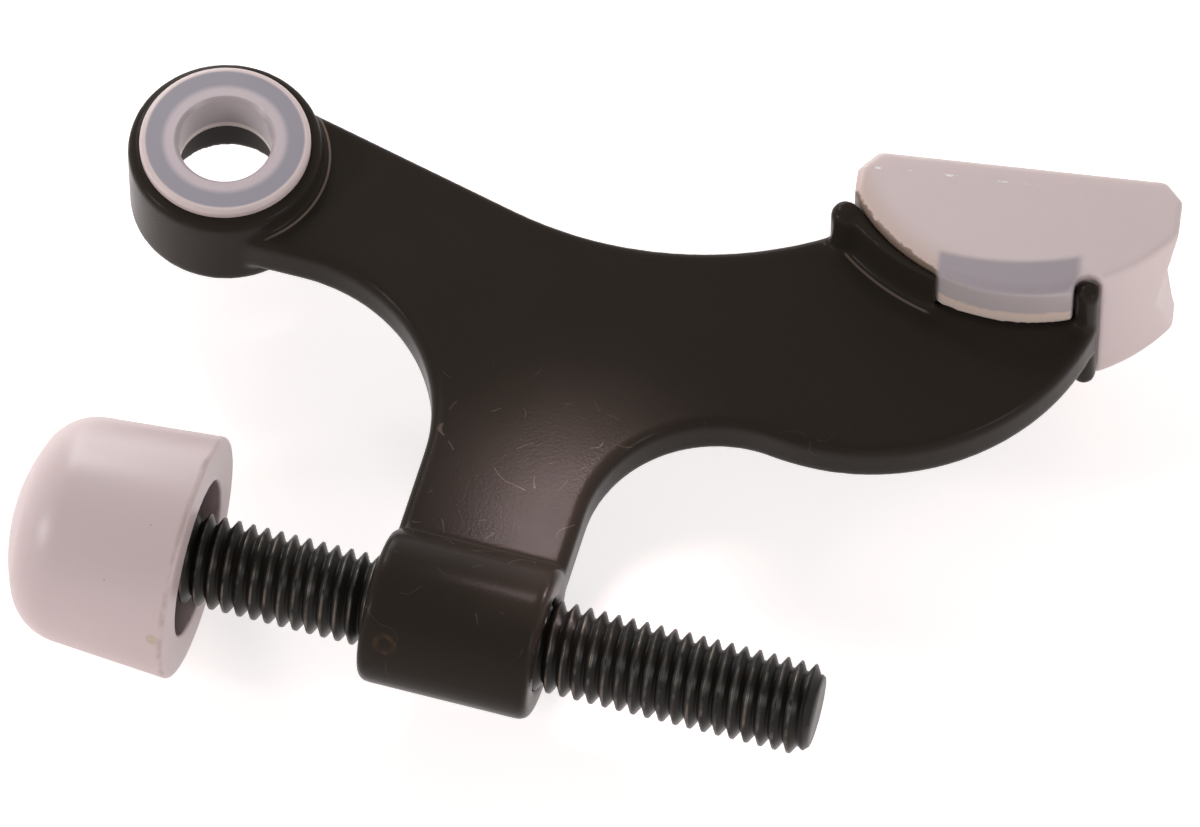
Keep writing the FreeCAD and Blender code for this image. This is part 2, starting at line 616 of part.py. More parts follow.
def make_rod_cap():
    """Soft cap: tapered side, rounded shoulder, domed front, lipped mouth that holds the screw's head."""
    body = make_body("rod_cap", Base_x=CAP_MOUTH, **ROD_AXIS)
    outline = make_sketch(body, "CapOutline", "XY_Plane")
    rim = (0, size.cap_rim_dia / 2, 0)
    shoulder = (-size.cap_side_length, size.cap_shoulder_dia / 2, 0)
    slope = atan2(rim[1] - shoulder[1], size.cap_side_length)
    corner = at(shoulder, size.cap_corner_radius, slope - pi / 2)
    length = size.cap_side_length + size.cap_nose
    ahead = corner[0] + length
    dome_radius = ahead ** 2 + corner[1] ** 2 - size.cap_corner_radius ** 2
    dome_radius = dome_radius / (2 * (ahead - size.cap_corner_radius))
    dome = (dome_radius - length, 0)
    front_way = pi - atan2(corner[1], dome[0] - corner[0])
    socket_back = "-Sizes.cap_lip - Sizes.head_thick - 2 * Sizes.head_end_play"
    socket_x = outline.evalExpression(socket_back)
    socket_y = size.head_dia / 2 + size.head_fit
    mouth_y = size.cap_mouth_dia / 2

    side = add_line(outline, rim, shoulder)
    corner_arc = add_arc(outline, corner, size.cap_corner_radius, slope + pi / 2, front_way)
    dome_arc = add_arc(outline, dome, dome_radius, front_way, pi)
    core = add_line(outline, (-length, 0, 0), (socket_x, 0, 0))
    socket_floor = add_line(outline, (socket_x, 0, 0), (socket_x, socket_y, 0))
    socket_wall = add_line(outline, (socket_x, socket_y, 0), (-size.cap_lip, socket_y, 0))
    lip_back = add_line(outline, (-size.cap_lip, socket_y, 0), (-size.cap_lip, mouth_y, 0))
    mouth = add_line(outline, (-size.cap_lip, mouth_y, 0), (0, mouth_y, 0))
    face = add_line(outline, (0, mouth_y, 0), rim)
    join(outline, "Tangent", side, END, corner_arc, START)
    join(outline, "Tangent", corner_arc, END, dome_arc, START)
    join(outline, "Coincident", dome_arc, END, core, START)
    for item, after in ((core, socket_floor), (socket_floor, socket_wall), (socket_wall, lip_back),
                        (lip_back, mouth), (mouth, face), (face, side)):
        join(outline, "Coincident", item, END, after, START)
    locate(outline, side, START, "0", "Sizes.cap_rim_dia / 2")
    locate(outline, side, END, "-Sizes.cap_side_length", "Sizes.cap_shoulder_dia / 2")
    drive(outline, "Radius", corner_arc, "Sizes.cap_corner_radius")
    locate(outline, dome_arc, CENTRE, None, "0")
    locate(outline, core, START, "-Sizes.cap_side_length - Sizes.cap_nose", "0")
    locate(outline, core, END, socket_back, "0")
    locate(outline, socket_floor, END, socket_back, "Sizes.head_dia / 2 + Sizes.head_fit")
    locate(outline, socket_wall, END, "-Sizes.cap_lip", "Sizes.head_dia / 2 + Sizes.head_fit")
    locate(outline, lip_back, END, "-Sizes.cap_lip", "Sizes.cap_mouth_dia / 2")
    locate(outline, mouth, END, "0", "Sizes.cap_mouth_dia / 2")
    make_turned(body, "Cap", outline, "H_Axis")
    make_round(body, "RimRound", lambda edge: edge.isClosed() and edge.BoundBox.XLength < NEAR
               and abs(edge.BoundBox.XMin) < NEAR, "Sizes.cap_rim_round")
    return body


def make_arm_bumper():
    """Soft pad, D-shaped from above, with a waist round its face and ends. Its pocket clips over the lug."""
    body = make_body("arm_bumper", Base_x="Sizes.seat_center_x", Base_y="Sizes.seat_center_y",
                     Base_z="-Sizes.eye_height / 2", Rotation_Angle=TURN)
    block = make_sketch(body, "PadOutline", "XY_Plane")
    add_polygon(block, [
        ("-" + PAD_LEFT, "-Sizes.pad_face_depth"),
        ("-" + PAD_LEFT, "-Sizes.seat_radius"),
        (PAD_RIGHT, "-Sizes.seat_radius"),
        (PAD_RIGHT, "-Sizes.pad_face_depth"),
    ])
    make_pad(body, "PadBlock", block, "Sizes.pad_height")

    back_cut = make_sketch(body, "PadBackOutline", "XY_Plane")
    add_circle(back_cut, "0", "0", "Sizes.seat_radius - Sizes.pad_fit")
    add_circle(back_cut, "0", "0", "2 * Sizes.seat_radius")
    make_cut(body, "PadBack", back_cut, "2 * Sizes.pad_height")

    corners = make_sketch(body, "PadCornerOutline", "XY_Plane", Base_z="Sizes.pad_height / 2")
    back = "-Sizes.pad_face_depth - Sizes.pad_corner_back"
    for side, end in (("-", PAD_LEFT), ("", PAD_RIGHT)):
        add_polygon(corners, [
            (f"{side}({end} - Sizes.pad_corner_across)", "-Sizes.pad_face_depth"),
            (f"{side}{end}", back),
            (f"{side}({end} + Sizes.pad_corner_across)", back),
            (f"{side}({end} + Sizes.pad_corner_across)", "-Sizes.pad_face_depth + Sizes.pad_corner_back"),
            (f"{side}({end} - Sizes.pad_corner_across)", "-Sizes.pad_face_depth + Sizes.pad_corner_back"),
        ])
    make_cut(body, "PadCorners", corners, "Sizes.pad_height", "Sizes.pad_corner_lean * 1 deg")
    top = size.pad_height / 2
    make_round(body, "PadRound", lambda edge: lies_flat(edge, top), "Sizes.pad_edge_round")

    notch = make_sketch(body, "PadNotchOutline", "XZ_Plane")
    outside = PAD_RIGHT + " + Sizes.pad_notch_depth"
    add_polygon(notch, [
        (PAD_RIGHT + " - Sizes.pad_notch_depth", "-Sizes.pad_notch_drop"),
        (PAD_RIGHT, "-Sizes.pad_height / 2"),
        (outside, "-Sizes.pad_height / 2"),
        (outside, "Sizes.pad_height / 2"),
        (PAD_RIGHT, "Sizes.pad_height / 2"),
    ])
    make_cut(body, "PadNotch", notch, "4 * Sizes.seat_radius")

    tab = make_sketch(body, "TabOutline", "XY_Plane")
    draw_band(tab, LUG_OUTER, "Sizes.seat_radius + Sizes.tab_proud",
              "-Sizes.lug_left - Sizes.tab_cover", "Sizes.lug_right + Sizes.tab_cover")
    make_pad(body, "Tab", tab, "2 * Sizes.tab_rise")

    pocket = make_sketch(body, "LugPocketOutline", "XY_Plane")
    draw_band(pocket, LUG_INNER + " - Sizes.pad_fit", LUG_OUTER + " + Sizes.pad_fit",
              "-Sizes.lug_left - Sizes.pad_fit", "Sizes.lug_right + Sizes.pad_fit")
    make_cut(body, "LugPocket", pocket, "2 * (Sizes.lug_rise + Sizes.pad_fit)")

    slot = make_sketch(body, "TongueSlotOutline", "XY_Plane")
    draw_band(slot, LUG_INNER + " - Sizes.pad_fit", "Sizes.seat_radius + Sizes.plate_thick",
              "-Sizes.lug_left - Sizes.tab_cover - Sizes.pad_fit",
              "Sizes.lug_right + Sizes.tab_cover + Sizes.pad_fit")
    make_cut(body, "TongueSlot", slot, "Sizes.plate_thick + 2 * Sizes.tab_clear")

    post_room = make_sketch(body, "PostRoomOutline", "XY_Plane")
    add_circle(post_room, RIGHT_POST_X, RIGHT_POST_Y, "Sizes.right_post_radius + Sizes.post_room")
    make_cut(body, "PostRoom", post_room, "2 * Sizes.pad_height")
    return body


make_sheet()
pieces = [make_cast_body(), make_eye_bushing(), make_threaded_rod(), make_rod_cap(), make_arm_bumper()]
doc.recompute()

for item in doc.Objects:
    if "Invalid" in item.State or "Error" in item.State:
        raise RuntimeError(item.Name + " did not build")

os.makedirs("parts", exist_ok=True)
for body in pieces:
    if body.Shape.isNull() or not body.Shape.isValid():
        raise RuntimeError(body.Label + " has no sound shape")
    body.Shape.exportStep(f"parts/{body.Label}.step")
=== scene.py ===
"""Dresses a hinge pin door stop: painted casting, moulded plastics, a cut screw thread and a studio."""

import math

import bmesh
import bpy
from bpy.props import FloatProperty, FloatVectorProperty, IntProperty, PointerProperty
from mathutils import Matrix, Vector


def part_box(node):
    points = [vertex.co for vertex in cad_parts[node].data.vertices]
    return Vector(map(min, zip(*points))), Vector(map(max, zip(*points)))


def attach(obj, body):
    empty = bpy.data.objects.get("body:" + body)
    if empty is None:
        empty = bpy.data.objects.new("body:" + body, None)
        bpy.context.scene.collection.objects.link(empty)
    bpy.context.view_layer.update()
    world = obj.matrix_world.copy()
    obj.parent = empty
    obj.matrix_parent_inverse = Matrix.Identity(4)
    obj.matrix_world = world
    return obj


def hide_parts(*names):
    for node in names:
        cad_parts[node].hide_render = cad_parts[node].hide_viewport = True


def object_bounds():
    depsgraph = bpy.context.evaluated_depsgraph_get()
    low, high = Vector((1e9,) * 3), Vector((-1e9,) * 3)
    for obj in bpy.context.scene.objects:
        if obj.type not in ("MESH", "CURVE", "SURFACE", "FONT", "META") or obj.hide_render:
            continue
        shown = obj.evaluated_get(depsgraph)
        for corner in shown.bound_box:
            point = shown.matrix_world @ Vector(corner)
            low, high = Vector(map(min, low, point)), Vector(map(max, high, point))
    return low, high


bl_info = {
    "name": "Hinge Pin Door Stop",
    "version": (1, 0, 0),
    "blender": (4, 5, 0),
    "location": "View3D > Sidebar > Door Stop",
    "description": "Gives the packed door stop its thread, mouldings, finishes and studio",
    "category": "Object",
}

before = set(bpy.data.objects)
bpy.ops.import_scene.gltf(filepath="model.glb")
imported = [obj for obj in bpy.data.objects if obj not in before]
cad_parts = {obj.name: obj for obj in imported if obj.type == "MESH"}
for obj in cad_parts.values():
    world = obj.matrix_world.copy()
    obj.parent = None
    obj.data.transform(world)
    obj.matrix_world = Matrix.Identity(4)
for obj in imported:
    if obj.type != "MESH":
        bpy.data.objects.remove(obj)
CAD_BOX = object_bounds()
SCREW_LOW, SCREW_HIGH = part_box("threaded_rod")
CAP_LOW, CAP_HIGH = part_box("rod_cap")
BUSH_LOW, BUSH_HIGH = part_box("eye_bushing")

MM = 0.001
SCREW_AXIS = (SCREW_LOW + SCREW_HIGH) / 2
ORIGIN = (0.0, 0.0, 0.0)

# Points nearer than this are one point: on CAD meshes and turned forms, and on the coiled thread.
MERGE_GAP = 0.002 * MM
THREAD_MERGE_GAP = 0.004 * MM
# The thread starts this far inside the screw's head.
THREAD_ROOT_IN_HEAD = 0.5 * MM

# The saddle: the centre of its curved seat at mid height, and its turn about that centre.
SEAT = Vector((67.2, 18.9, -4.55)) * MM
SADDLE_TURN = math.radians(8.72)

# Marks on the casting: pale lines at the foot of the saddle's wall and of the eye, which are painted highlights, lint
# on the leg, the drip's ring.
PLATE_TOP = -2.1 * MM
WALL_FOOT_CENTRE = (0.0, 3.0 * MM, 0.0)
WALL_FOOT_RADIUS = 20.75 * MM
WALL_FOOT_END = -6.7 * MM
EYE_FOOT_RADIUS = 9.05 * MM
EYE_FOOT_START = 4.5 * MM
LEG_START, LEG_CLEAR, LEG_END, SLEEVE_START = -10.0 * MM, -22.0 * MM, -33.0 * MM, -36.0 * MM
DRIP_PLACE = Vector((27.1, -43.5, -0.9)) * MM
DRIP_RADIUS = 0.8 * MM

# The bushing: where its tube ends and its clear flange starts, out from its axis, and the height of the pale band
# painted as a highlight round its lower mouth.
TUBE_END = 4.2 * MM
FLANGE_START = 5.0 * MM
MOUTH_HEIGHT = 0.75 * MM

# The bumper, about the seat's centre: the tab's ends, the arc of the lug's edge seen through it, the tab's front
# (painted lighter against its shade) and lip, the warm zone and the flash by the casting, and the row of painted
# glints.
TAB_LEFT, TAB_RIGHT = -6.75 * MM, 6.2 * MM
LUG_CENTRE = (-2.3 * MM, 10.65 * MM, 0.0)
LUG_RADIUS = 24.2 * MM
TAB_FRONT = 16.72 * MM
TAB_LIP_HEIGHT = 4.7 * MM
WARM_START, PAD_OUT = 13.6 * MM, 16.9 * MM
FLASH_START = 16.36 * MM
GLINT_LINE, GLINT_END, GLINT_HEIGHT = -5.9 * MM, 2.0 * MM, 7.2 * MM

# The camera looks at the middle of the object from this side.
MIDDLE = Vector((37.93, -14.56, -4.55)) * MM
CAMERA_SIDE = Vector((0.1380, -0.4852, 0.8634)).normalized()
CLIP_NEAR, CLIP_FAR = 0.01, 10.0

# The floor's half width in metres, and its gap under the object.
FLOOR_HALF = 3.0
FLOOR_GAP = 0.05 * MM

# The dome's shades at the horizon and overhead, and between them by height.
DOME_LOW, DOME_TOP = "#ffffff", "#7c7c7c"
DOME_BETWEEN = ((0.35, "#e1e1e1"), (0.7, "#818181"))

# Soft boxes: name, direction from the object's middle, distance and width in metres, watts.
SOFT_BOXES = (
    ("back", (-0.45, 0.85, 0.25), 0.6, 0.28, 0.68),
    ("left", (-0.78, -0.43, 0.45), 0.5, 0.1, 0.5),
    ("right", (0.85, -0.35, 0.5), 0.5, 0.14, 0.4),
    ("top", (-0.55, 0.6, 0.65), 0.25, 0.08, 0.17),
)

# Spots: name, aim in mm, direction from it, distance in mm, cone in degrees, lamp radius in mm, watts.
SPOTS = (
    ("sheen", (38.5, -25.5, -2.15), (-0.1324, 0.4134, 0.9008), 43.13, 36.0, 7.0, 0.095),
    ("glint", (39.4, -36.7, 1.9), (0.593, 0.7, 0.378), 45.0, 10.0, 3.0, 0.09),
)
SPOT_COLOUR = "#ffe6e6"


def linear(code):
    """An sRGB hex colour such as "#c8b8b6" as linear red, green, blue and alpha."""
    channels = [int(code[place : place + 2], 16) / 255 for place in (1, 3, 5)]
    return (*(c / 12.92 if c <= 0.04045 else ((c + 0.055) / 1.055) ** 2.4 for c in channels), 1.0)


def per_mm(feature):
    """The texture scale, in cells per metre, whose features are this many millimetres across."""
    return 1.0 / (feature * MM)


def length(label, about, millimetres):
    """A length property in metres, with its default given in millimetres."""
    return FloatProperty(
        name=label,
        description=about,
        default=millimetres * MM,
        min=0.0,
        unit="LENGTH",
        subtype="DISTANCE",
        precision=5,
    )


def colour(label, about, code):
    """A colour property with its default given as an sRGB hex value."""
    return FloatVectorProperty(
        name=label, description=about, default=linear(code), size=4, min=0.0, max=1.0, subtype="COLOR"
    )


class ScrewSettings(bpy.types.PropertyGroup):
    """Sizes and finish of the threaded screw."""

    crest_diameter: length("Crest diameter", "Outside diameter of the thread", 8.0)
    pitch: length("Pitch", "Travel in one turn", 1.25)
    depth: length("Thread depth", "From crest to root", 0.77)
    crest_flat: length("Crest flat", "Width of the thread's crest", 0.16)
    root_flat: length("Root flat", "Width of the thread's root", 0.2)
    point_chamfer: length("Point chamfer", "Bevel on the free end", 0.9)
    head_thickness: length("Head thickness", "Flat head inside the cap", 3.6)
    head_round: length("Head round", "Round on the head's edges", 0.8)
    turn_steps: IntProperty(name="Steps a turn", description="Faces round one turn of thread", default=56, min=12)
    oxide: colour("Oxide", "Black oxide on the thread's flanks", "#221f1b")
    bare: colour("Bare crest", "Steel where the oxide is rubbed off", "#6d655f")


class CapSettings(bpy.types.PropertyGroup):
    """Sizes and finish of the push-on cap."""

    rim_round: length("Rim round", "Round on the outer rim", 0.5)
    shoulder_diameter: length("Shoulder diameter", "Where the tapered side ends", 19.76)
    shoulder_place: length("Shoulder place", "From the rim to the end of the tapered side", 10.6)
    corner_radius: length("Corner radius", "Round between the side and the front", 5.0)
    dome_radius: length("Dome radius", "Curve of the front", 16.37)
    mouth_diameter: length("Mouth diameter", "Opening that the screw goes through", 13.7)
    mouth_depth: length("Mouth depth", "From the rim to the head's chamber", 4.2)
    chamber_depth: length("Chamber depth", "Room for the screw's head", 3.9)
    chamber_diameter: length("Chamber diameter", "Room for the screw's head", 16.2)
    gate_place: length("Gate place", "From the rim to the moulding gate's scar", 1.0)
    gate_angle: FloatProperty(
        name="Gate angle",
        description="Round the axis from the top to the scar",
        default=math.radians(74.5),
        unit="ROTATION",
        subtype="ANGLE",
    )
    gate_width: length("Gate width", "Across the scar", 1.3)
    vinyl: colour("Vinyl", "Warm white of the cap", "#d9c5c5")
    soil: colour("Soil", "Handling marks", "#8d7867")
    scar: colour("Scar", "Cut gate", "#c9b3a2")


class BumperSettings(bpy.types.PropertyGroup):
    """Finish of the clipped-on bumper."""

    voxel: length("Voxel", "Fineness of the moulded surface", 0.22)
    rounds: IntProperty(name="Easing rounds", description="Rounds of smoothing on its edges", default=5, min=0)
    milk: colour("Milk", "Thick, milky plastic", "#e3d2d1")
    over_metal: colour("Over metal", "Thin plastic in front of the dark lug", "#b2a7ad")
    warm: colour("Warm", "Plastic next to the casting", "#d2b8ac")
    # Painted light: the tab's front is lit less than its top, so its grey is painted lighter than over_metal.
    front: colour("Front", "Thicker front of the tab", "#c8bbbc")
    lip: colour("Lip", "Warm lower edge of the tab", "#efd6c9")
    # Painted highlights: short bright dashes near the top's rounded front edge.
    glint: colour("Glint", "Bright nicks by the front", "#fffaf8")
    flash: colour("Flash", "Thin, soiled moulding flash", "#7d6759")


class CastingSettings(bpy.types.PropertyGroup):
    """Finish of the painted casting."""

    voxel: length("Voxel", "Fineness of the cast surface", 0.285)
    rounds: IntProperty(name="Easing rounds", description="Rounds of smoothing on its edges", default=9, min=0)
    paint: colour("Paint", "Dark bronze paint", "#302a25")
    # This pale colour also paints the highlight lines at the feet of the saddle's wall and of the eye.
    dust_and_glint: colour("Dust", "Lint and dust on the paint", "#85746a")
    stain: colour("Stain", "Brown drip mark on the sleeve", "#5d4433")


class BushingSettings(bpy.types.PropertyGroup):
    """Finish of the eye's bushing."""

    tube: colour("Tube", "Thick wall of the tube", "#b3a5a9")
    inner: colour("Inner ring", "Paler plastic over the tube's end", "#cbbcc0")
    clear: colour("Clear", "Bluish, thin flange over the casting", "#9c959f")
    rim: colour("Rim", "Rounded edge of the flange", "#dccac8")
    # A painted highlight: the pale band round the tube's lower mouth.
    mouth_highlight: colour("Lower mouth", "Thin lower edge of the tube", "#ffefe6")


class StudioSettings(bpy.types.PropertyGroup):
    """Floor, light and camera."""

    floor: colour("Floor", "White floor", "#f5e8e6")
    glow: colour("Glow", "Added to the floor where it is seen", "#d1d1d1")
    lens: FloatProperty(name="Lens", description="Focal length", default=418.0, unit="CAMERA")
    distance: length("Camera distance", "From the object's middle", 1200.0)


PIECE_GROUPS = {
    "screw": ScrewSettings,
    "cap": CapSettings,
    "bumper": BumperSettings,
    "casting": CastingSettings,
    "bushing": BushingSettings,
    "studio": StudioSettings,
}


class DoorStopSettings(bpy.types.PropertyGroup):
    """All of the door stop's settings."""

    screw: PointerProperty(type=ScrewSettings)
    cap: PointerProperty(type=CapSettings)
    bumper: PointerProperty(type=BumperSettings)
    casting: PointerProperty(type=CastingSettings)
    bushing: PointerProperty(type=BushingSettings)
    studio: PointerProperty(type=StudioSettings)


def settings():
    """The scene's door stop settings."""
    return bpy.context.scene.door_stop


def set_inputs(tree, node, sockets):
    """Sets or links a node's inputs by name or number."""
    for place, value in sockets.items():
        if isinstance(value, bpy.types.NodeSocket):
            tree.links.new(value, node.inputs[place])
        else:
            node.inputs[place].default_value = value


def add_node(tree, kind, sockets=None, **options):
    """Adds a node, sets its options, and sets or links its inputs."""
    node = tree.nodes.new(kind)
    for option, value in options.items():
        setattr(node, option, value)
    set_inputs(tree, node, sockets or {})
    return node


def start_material(name):
    """An empty node material with its output and shader, as (material, tree, shader)."""
    material = bpy.data.materials.new(name)
    material.use_nodes = True
    tree = material.node_tree
    tree.nodes.clear()
    shader = add_node(tree, "ShaderNodeBsdfPrincipled")
    add_node(tree, "ShaderNodeOutputMaterial", {"Surface": shader.outputs["BSDF"]})
    return material, tree, shader


def ease(tree, value, low, high, first=0.0, last=1.0):
    """Takes a value from low to high along a smooth step from first to last."""
    return add_node(
        tree,
        "ShaderNodeMapRange",
        {"Value": value, 1: low, 2: high, 3: first, 4: last},
        interpolation_type="SMOOTHSTEP",
    ).outputs["Result"]


def blend(tree, share, under, over):
    """Lays a colour over another by its share."""
    return add_node(tree, "ShaderNodeMix", {0: share, 6: under, 7: over}, data_type="RGBA").outputs[2]


def combine(tree, operation, first, second):
    """A sum, product or other joining of two values."""
    return add_node(tree, "ShaderNodeMath", {0: first, 1: second}, operation=operation).outputs["Value"]


def product(tree, first, *others):
    """Some values multiplied together."""
    for value in others:
        first = combine(tree, "MULTIPLY", first, value)
    return first


def highest(tree, first, *others):
    """The highest of some values."""
    for value in others:
        first = combine(tree, "MAXIMUM", first, value)
    return first


def away_from(tree, value, level):
    """How far a value lies from a level, on either side."""
    gap = combine(tree, "SUBTRACT", value, level)
    return add_node(tree, "ShaderNodeMath", {0: gap}, operation="ABSOLUTE").outputs["Value"]


def split(tree, vector):
    """A vector's X, Y and Z."""
    return add_node(tree, "ShaderNodeSeparateXYZ", {"Vector": vector}).outputs


def vector_math(tree, operation, first, second, result="Vector"):
    """A joining of two vectors."""
    return add_node(tree, "ShaderNodeVectorMath", {0: first, 1: second}, operation=operation).outputs[result]


def gap_from(tree, place, point):
    """Distance from a point."""
    return vector_math(tree, "DISTANCE", place, point, "Value")


def line_at(tree, value, level, width):
    """A thin line where a value reaches a level."""
    return ease(tree, away_from(tree, value, level), width / 2, width / 6)


def noise(tree, place, feature, detail=2.0):
    """Noise whose features are this many millimetres across."""
    return add_node(
        tree, "ShaderNodeTexNoise", {"Vector": place, "Scale": per_mm(feature), "Detail": detail}
    ).outputs["Fac"]


def bumps(tree, height, strength, distance):
    """A normal ruffled by a height, over a distance in millimetres."""
    return add_node(
        tree, "ShaderNodeBump", {"Strength": strength, "Distance": distance * MM, "Height": height}
    ).outputs["Normal"]


def specks(tree, place, spacing, width, share):
    """Scattered round specks: spacing and width in millimetres, and the share of places that have one."""
    cells = add_node(tree, "ShaderNodeTexVoronoi", {"Vector": place, "Scale": per_mm(spacing)})
    near = ease(tree, cells.outputs["Distance"], width / spacing / 2, width / spacing / 4)
    chance = add_node(tree, "ShaderNodeSeparateColor", {"Color": cells.outputs["Color"]}).outputs["Red"]
    return product(tree, near, combine(tree, "LESS_THAN", chance, share))


def hairs(tree, place, feature, width, share):
    """Curled hairs: lines of one height in a soft noise, broken off by another noise."""
    line = line_at(tree, noise(tree, place, feature, 0.0), 0.5, 1.2 * width / feature)
    patch = noise(tree, place, 0.6 * feature, 0.0)
    return product(tree, line, ease(tree, patch, 1.0 - share, 1.03 - share))


def saddle_place(tree, place):
    """Place on the saddle, as (along the pad's face, flat vector from the seat's centre)."""
    local = add_node(
        tree,
        "ShaderNodeMapping",
        {"Vector": place, "Location": SEAT, "Rotation": (0.0, 0.0, SADDLE_TURN)},
        vector_type="TEXTURE",
    ).outputs["Vector"]
    return split(tree, local)["X"], vector_math(tree, "MULTIPLY", local, (1.0, 1.0, 0.0))


def soften(node, voxel, rounds):
    """A bmesh of a CAD node's form, drawn again on an even grid with its edges eased."""
    bm = bmesh.new()
    bm.from_mesh(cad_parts[node].data)
    bmesh.ops.remove_doubles(bm, verts=bm.verts, dist=MERGE_GAP)
    bmesh.ops.recalc_face_normals(bm, faces=bm.faces)
    mesh = bpy.data.meshes.new(node + "_grid")
    bm.to_mesh(mesh)
    bm.clear()
    holder = bpy.data.objects.new(node + "_grid", mesh)
    bpy.context.scene.collection.objects.link(holder)
    grid = holder.modifiers.new("Grid", "REMESH")
    grid.mode = "VOXEL"
    grid.voxel_size = voxel
    smooth = holder.modifiers.new("Ease", "SMOOTH")
    smooth.factor = 0.5
    smooth.iterations = rounds
    bm.from_object(holder, bpy.context.evaluated_depsgraph_get())
    bpy.data.objects.remove(holder)
    bpy.data.meshes.remove(mesh)
    return bm


def finish_piece(bm, name, body, node, material):
    """Turns a bmesh into a smooth piece that stands for a node and moves with its body."""
    mesh = bpy.data.meshes.new(name)
    bm.to_mesh(mesh)
    bm.free()
    mesh.shade_smooth()
    piece = bpy.data.objects.new(name, mesh)
    bpy.context.scene.collection.objects.link(piece)
    mesh.materials.append(material)
    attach(piece, body)
    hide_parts(node)


def dress_node(node, material):
    """Gives a CAD node its finish."""
    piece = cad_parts[node]
    piece.data.materials.clear()
    piece.data.materials.append(material)


def make_chain(bm, places):
    """A chain of edges through points of (along the screw's axis, out from it)."""
    verts = [bm.verts.new((along, SCREW_AXIS.y + out, SCREW_AXIS.z)) for along, out in places]
    edges = [bm.edges.new(pair) for pair in zip(verts, verts[1:])]
    return verts, edges


def arc(centre, radius, start, finish, steps):
    """Points on an arc about (along, out), its angle taken from straight ahead of the cap's front."""
    angles = [start + (finish - start) * step / steps for step in range(steps + 1)]
    return [(centre[0] - radius * math.cos(a), centre[1] + radius * math.sin(a)) for a in angles]


def turn_chain(bm, verts, edges, steps):
    """Spins a chain into a closed round form about the screw's axis."""
    bmesh.ops.spin(
        bm, geom=verts + edges, cent=SCREW_AXIS, axis=(1, 0, 0), angle=math.tau, steps=steps, use_merge=True
    )
    bmesh.ops.remove_doubles(bm, verts=bm.verts, dist=MERGE_GAP)
    bmesh.ops.recalc_face_normals(bm, faces=bm.faces)


def painted_casting():
    """Satin dark bronze paint on a zinc die casting: near black brown, a soft sheen, fine grain, dust and lint, and
    pale lines painted as highlights at the feet of the wall and the eye.
    """
    look = settings().casting
    material, tree, shader = start_material("Satin bronze paint on die-cast zinc")
    place = add_node(tree, "ShaderNodeTexCoord").outputs["Object"]
    parts = split(tree, place)
    # Dust specks in the pale colour; the painted highlight lines at the feet are added below.
    dust_and_glint = product(tree, specks(tree, place, 2.6, 0.18, 0.07), 0.7)
    on_leg = ease(tree, parts["Y"], LEG_START, LEG_CLEAR, 0.0, 0.36)
    off_sleeve = ease(tree, parts["Y"], LEG_END, SLEEVE_START, 1.0, 0.3)
    lint = product(tree, hairs(tree, place, 3.0, 0.05, 0.42), on_leg, off_sleeve)
    along, flat = saddle_place(tree, place)
    # Painted highlights: thin pale lines along the feet of the saddle's wall and of the eye, on the plate's top.
    foot = line_at(tree, gap_from(tree, flat, WALL_FOOT_CENTRE), WALL_FOOT_RADIUS, 0.3 * MM)
    foot = product(tree, foot, ease(tree, along, WALL_FOOT_END, WALL_FOOT_END - 0.8 * MM, 0.0, 0.55))
    from_eye = vector_math(tree, "MULTIPLY", place, (1.0, 1.0, 0.0))
    ring = line_at(tree, gap_from(tree, from_eye, ORIGIN), EYE_FOOT_RADIUS, 0.28 * MM)
    ring = product(tree, ring, ease(tree, parts["X"], EYE_FOOT_START, EYE_FOOT_START + 3.5 * MM, 0.0, 0.85))
    foot_glint_lines = product(tree, highest(tree, foot, ring), line_at(tree, parts["Z"], PLATE_TOP, 0.5 * MM))
    skin = blend(tree, highest(tree, dust_and_glint, lint, foot_glint_lines), look.paint, look.dust_and_glint)
    drip = line_at(tree, gap_from(tree, place, DRIP_PLACE), DRIP_RADIUS, 0.7 * MM)
    drip = product(tree, drip, ease(tree, noise(tree, place, 0.8), 0.35, 0.65, 0.1, 0.55))
    sockets = {
        "Base Color": blend(tree, drip, skin, look.stain),
        "Roughness": ease(tree, noise(tree, place, 7.0, 3.0), 0.3, 0.7, 0.21, 0.27),
        "Specular IOR Level": 0.055,
        "Normal": bumps(tree, noise(tree, place, 0.25), 0.4, 0.03),
    }
    set_inputs(tree, shader, sockets)
    return material


def clear_nylon():
    """Natural moulded nylon: bluish where thin over dark metal, paler and warmer where thick, with a pale band
    painted as a highlight round the lower mouth.
    """
    look = settings().bushing
    material, tree, shader = start_material("Natural moulded nylon")
    place = add_node(tree, "ShaderNodeTexCoord").outputs["Object"]
    out = gap_from(tree, vector_math(tree, "MULTIPLY", place, (1.0, 1.0, 0.0)), ORIGIN)
    rim = BUSH_HIGH.x
    low = BUSH_LOW.z + MOUTH_HEIGHT
    skin = blend(tree, ease(tree, out, TUBE_END, TUBE_END + 0.4 * MM), look.tube, look.inner)
    skin = blend(tree, ease(tree, out, FLANGE_START, FLANGE_START + 0.7 * MM), skin, look.clear)
    skin = blend(tree, ease(tree, out, rim - 0.66 * MM, rim - 0.42 * MM), skin, look.rim)
    sockets = {
        # The pale band round the lower mouth is a painted highlight.
        "Base Color": blend(tree, ease(tree, split(tree, place)["Z"], low, low - 0.25 * MM), skin, look.mouth_highlight),
        "Roughness": 0.34,
        "Subsurface Weight": 0.25,
        "Subsurface Radius": (1.0, 0.9, 0.8),
        "Subsurface Scale": 0.8 * MM,
    }
    set_inputs(tree, shader, sockets)
    return material


